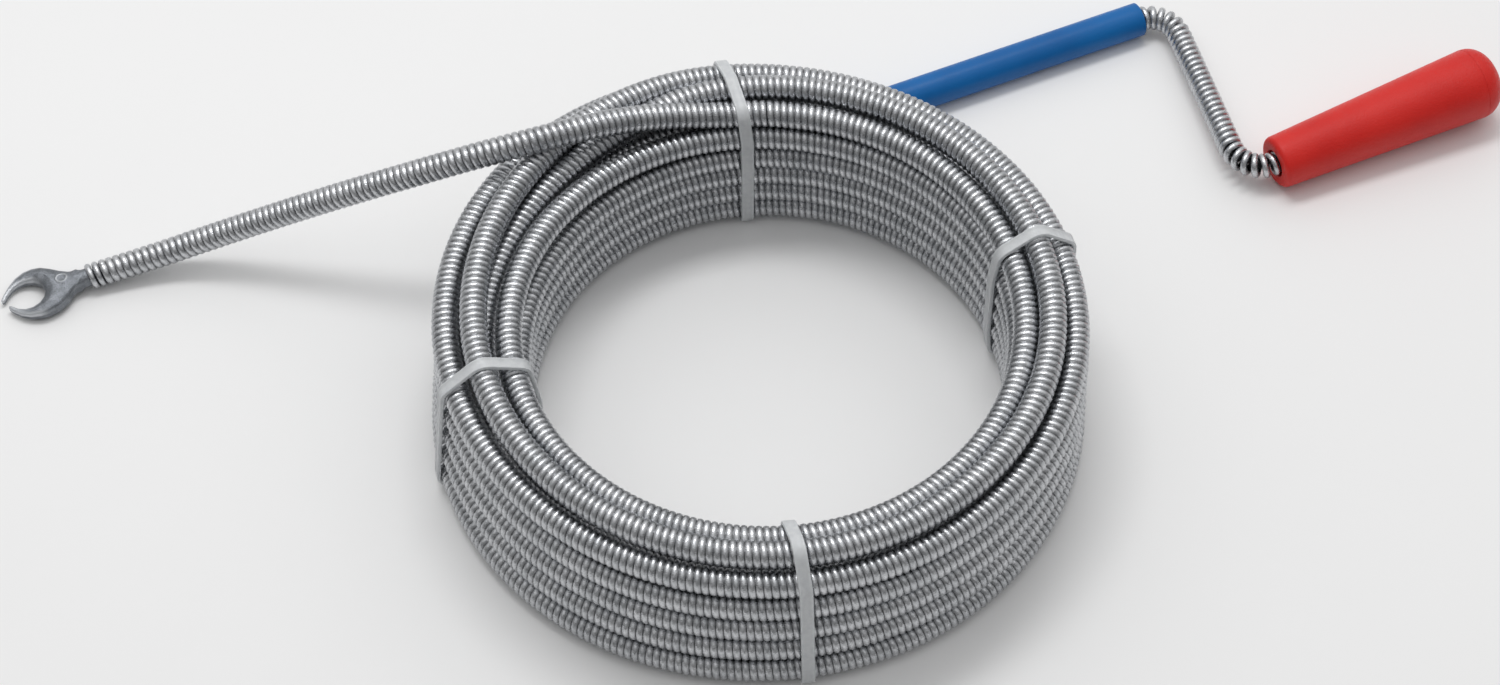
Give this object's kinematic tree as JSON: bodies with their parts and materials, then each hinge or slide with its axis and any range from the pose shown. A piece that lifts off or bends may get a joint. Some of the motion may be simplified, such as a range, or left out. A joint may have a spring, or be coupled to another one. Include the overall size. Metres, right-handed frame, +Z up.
{
  "type": "hand drain snake",
  "caption": "Long close-wound steel spring tied in a ring, with a claw at one end, and a crank bent in the spring with a guide sleeve and a free-turning handle at the other.",
  "frame": {"origin": "centre of the tied coil's eye, on the floor that the tool lies on", "axes": "+Z up out of the coil, +X towards the crank and handle, -X towards the claw, +Y the side that the free ends leave from"},
  "size_m": [0.5099, 0.2742, 0.0657],
  "materials": {
    "zinc_steel": "bright zinc-plated wire",
    "cast_zinc": "satin zinc casting",
    "blue_plastic": "smooth satin plastic tube",
    "red_plastic": "finely grained moulded plastic",
    "clear_nylon": "natural translucent nylon"
  },
  "bodies": {
    "snake": {"spring_coil": "zinc_steel", "spring_tail": "zinc_steel", "spring_crank": "zinc_steel", "claw_head": "cast_zinc", "retaining_ferrule": "zinc_steel", "thrust_washer": "zinc_steel", "cable_tie_back": "clear_nylon", "cable_tie_left": "clear_nylon", "cable_tie_front": "clear_nylon", "cable_tie_right": "clear_nylon"},
    "sleeve": {"guide_sleeve": "blue_plastic"},
    "handle": {"handle_grip": "red_plastic", "handle_end_cap": "red_plastic"}
  },
  "joints": [
    {"name": "handle_spin", "type": "hinge", "parent": "snake", "child": "handle", "pos_m": [0.17348, 0.09445, 0.00915], "axis": [0.9086, 0.4154, 0.0435], "continuous": true},
    {"name": "sleeve_spin", "type": "hinge", "parent": "snake", "child": "sleeve", "pos_m": [0.13178, 0.16185, 0.006], "axis": [-0.9174, -0.3981, 0], "continuous": true}
  ]
}
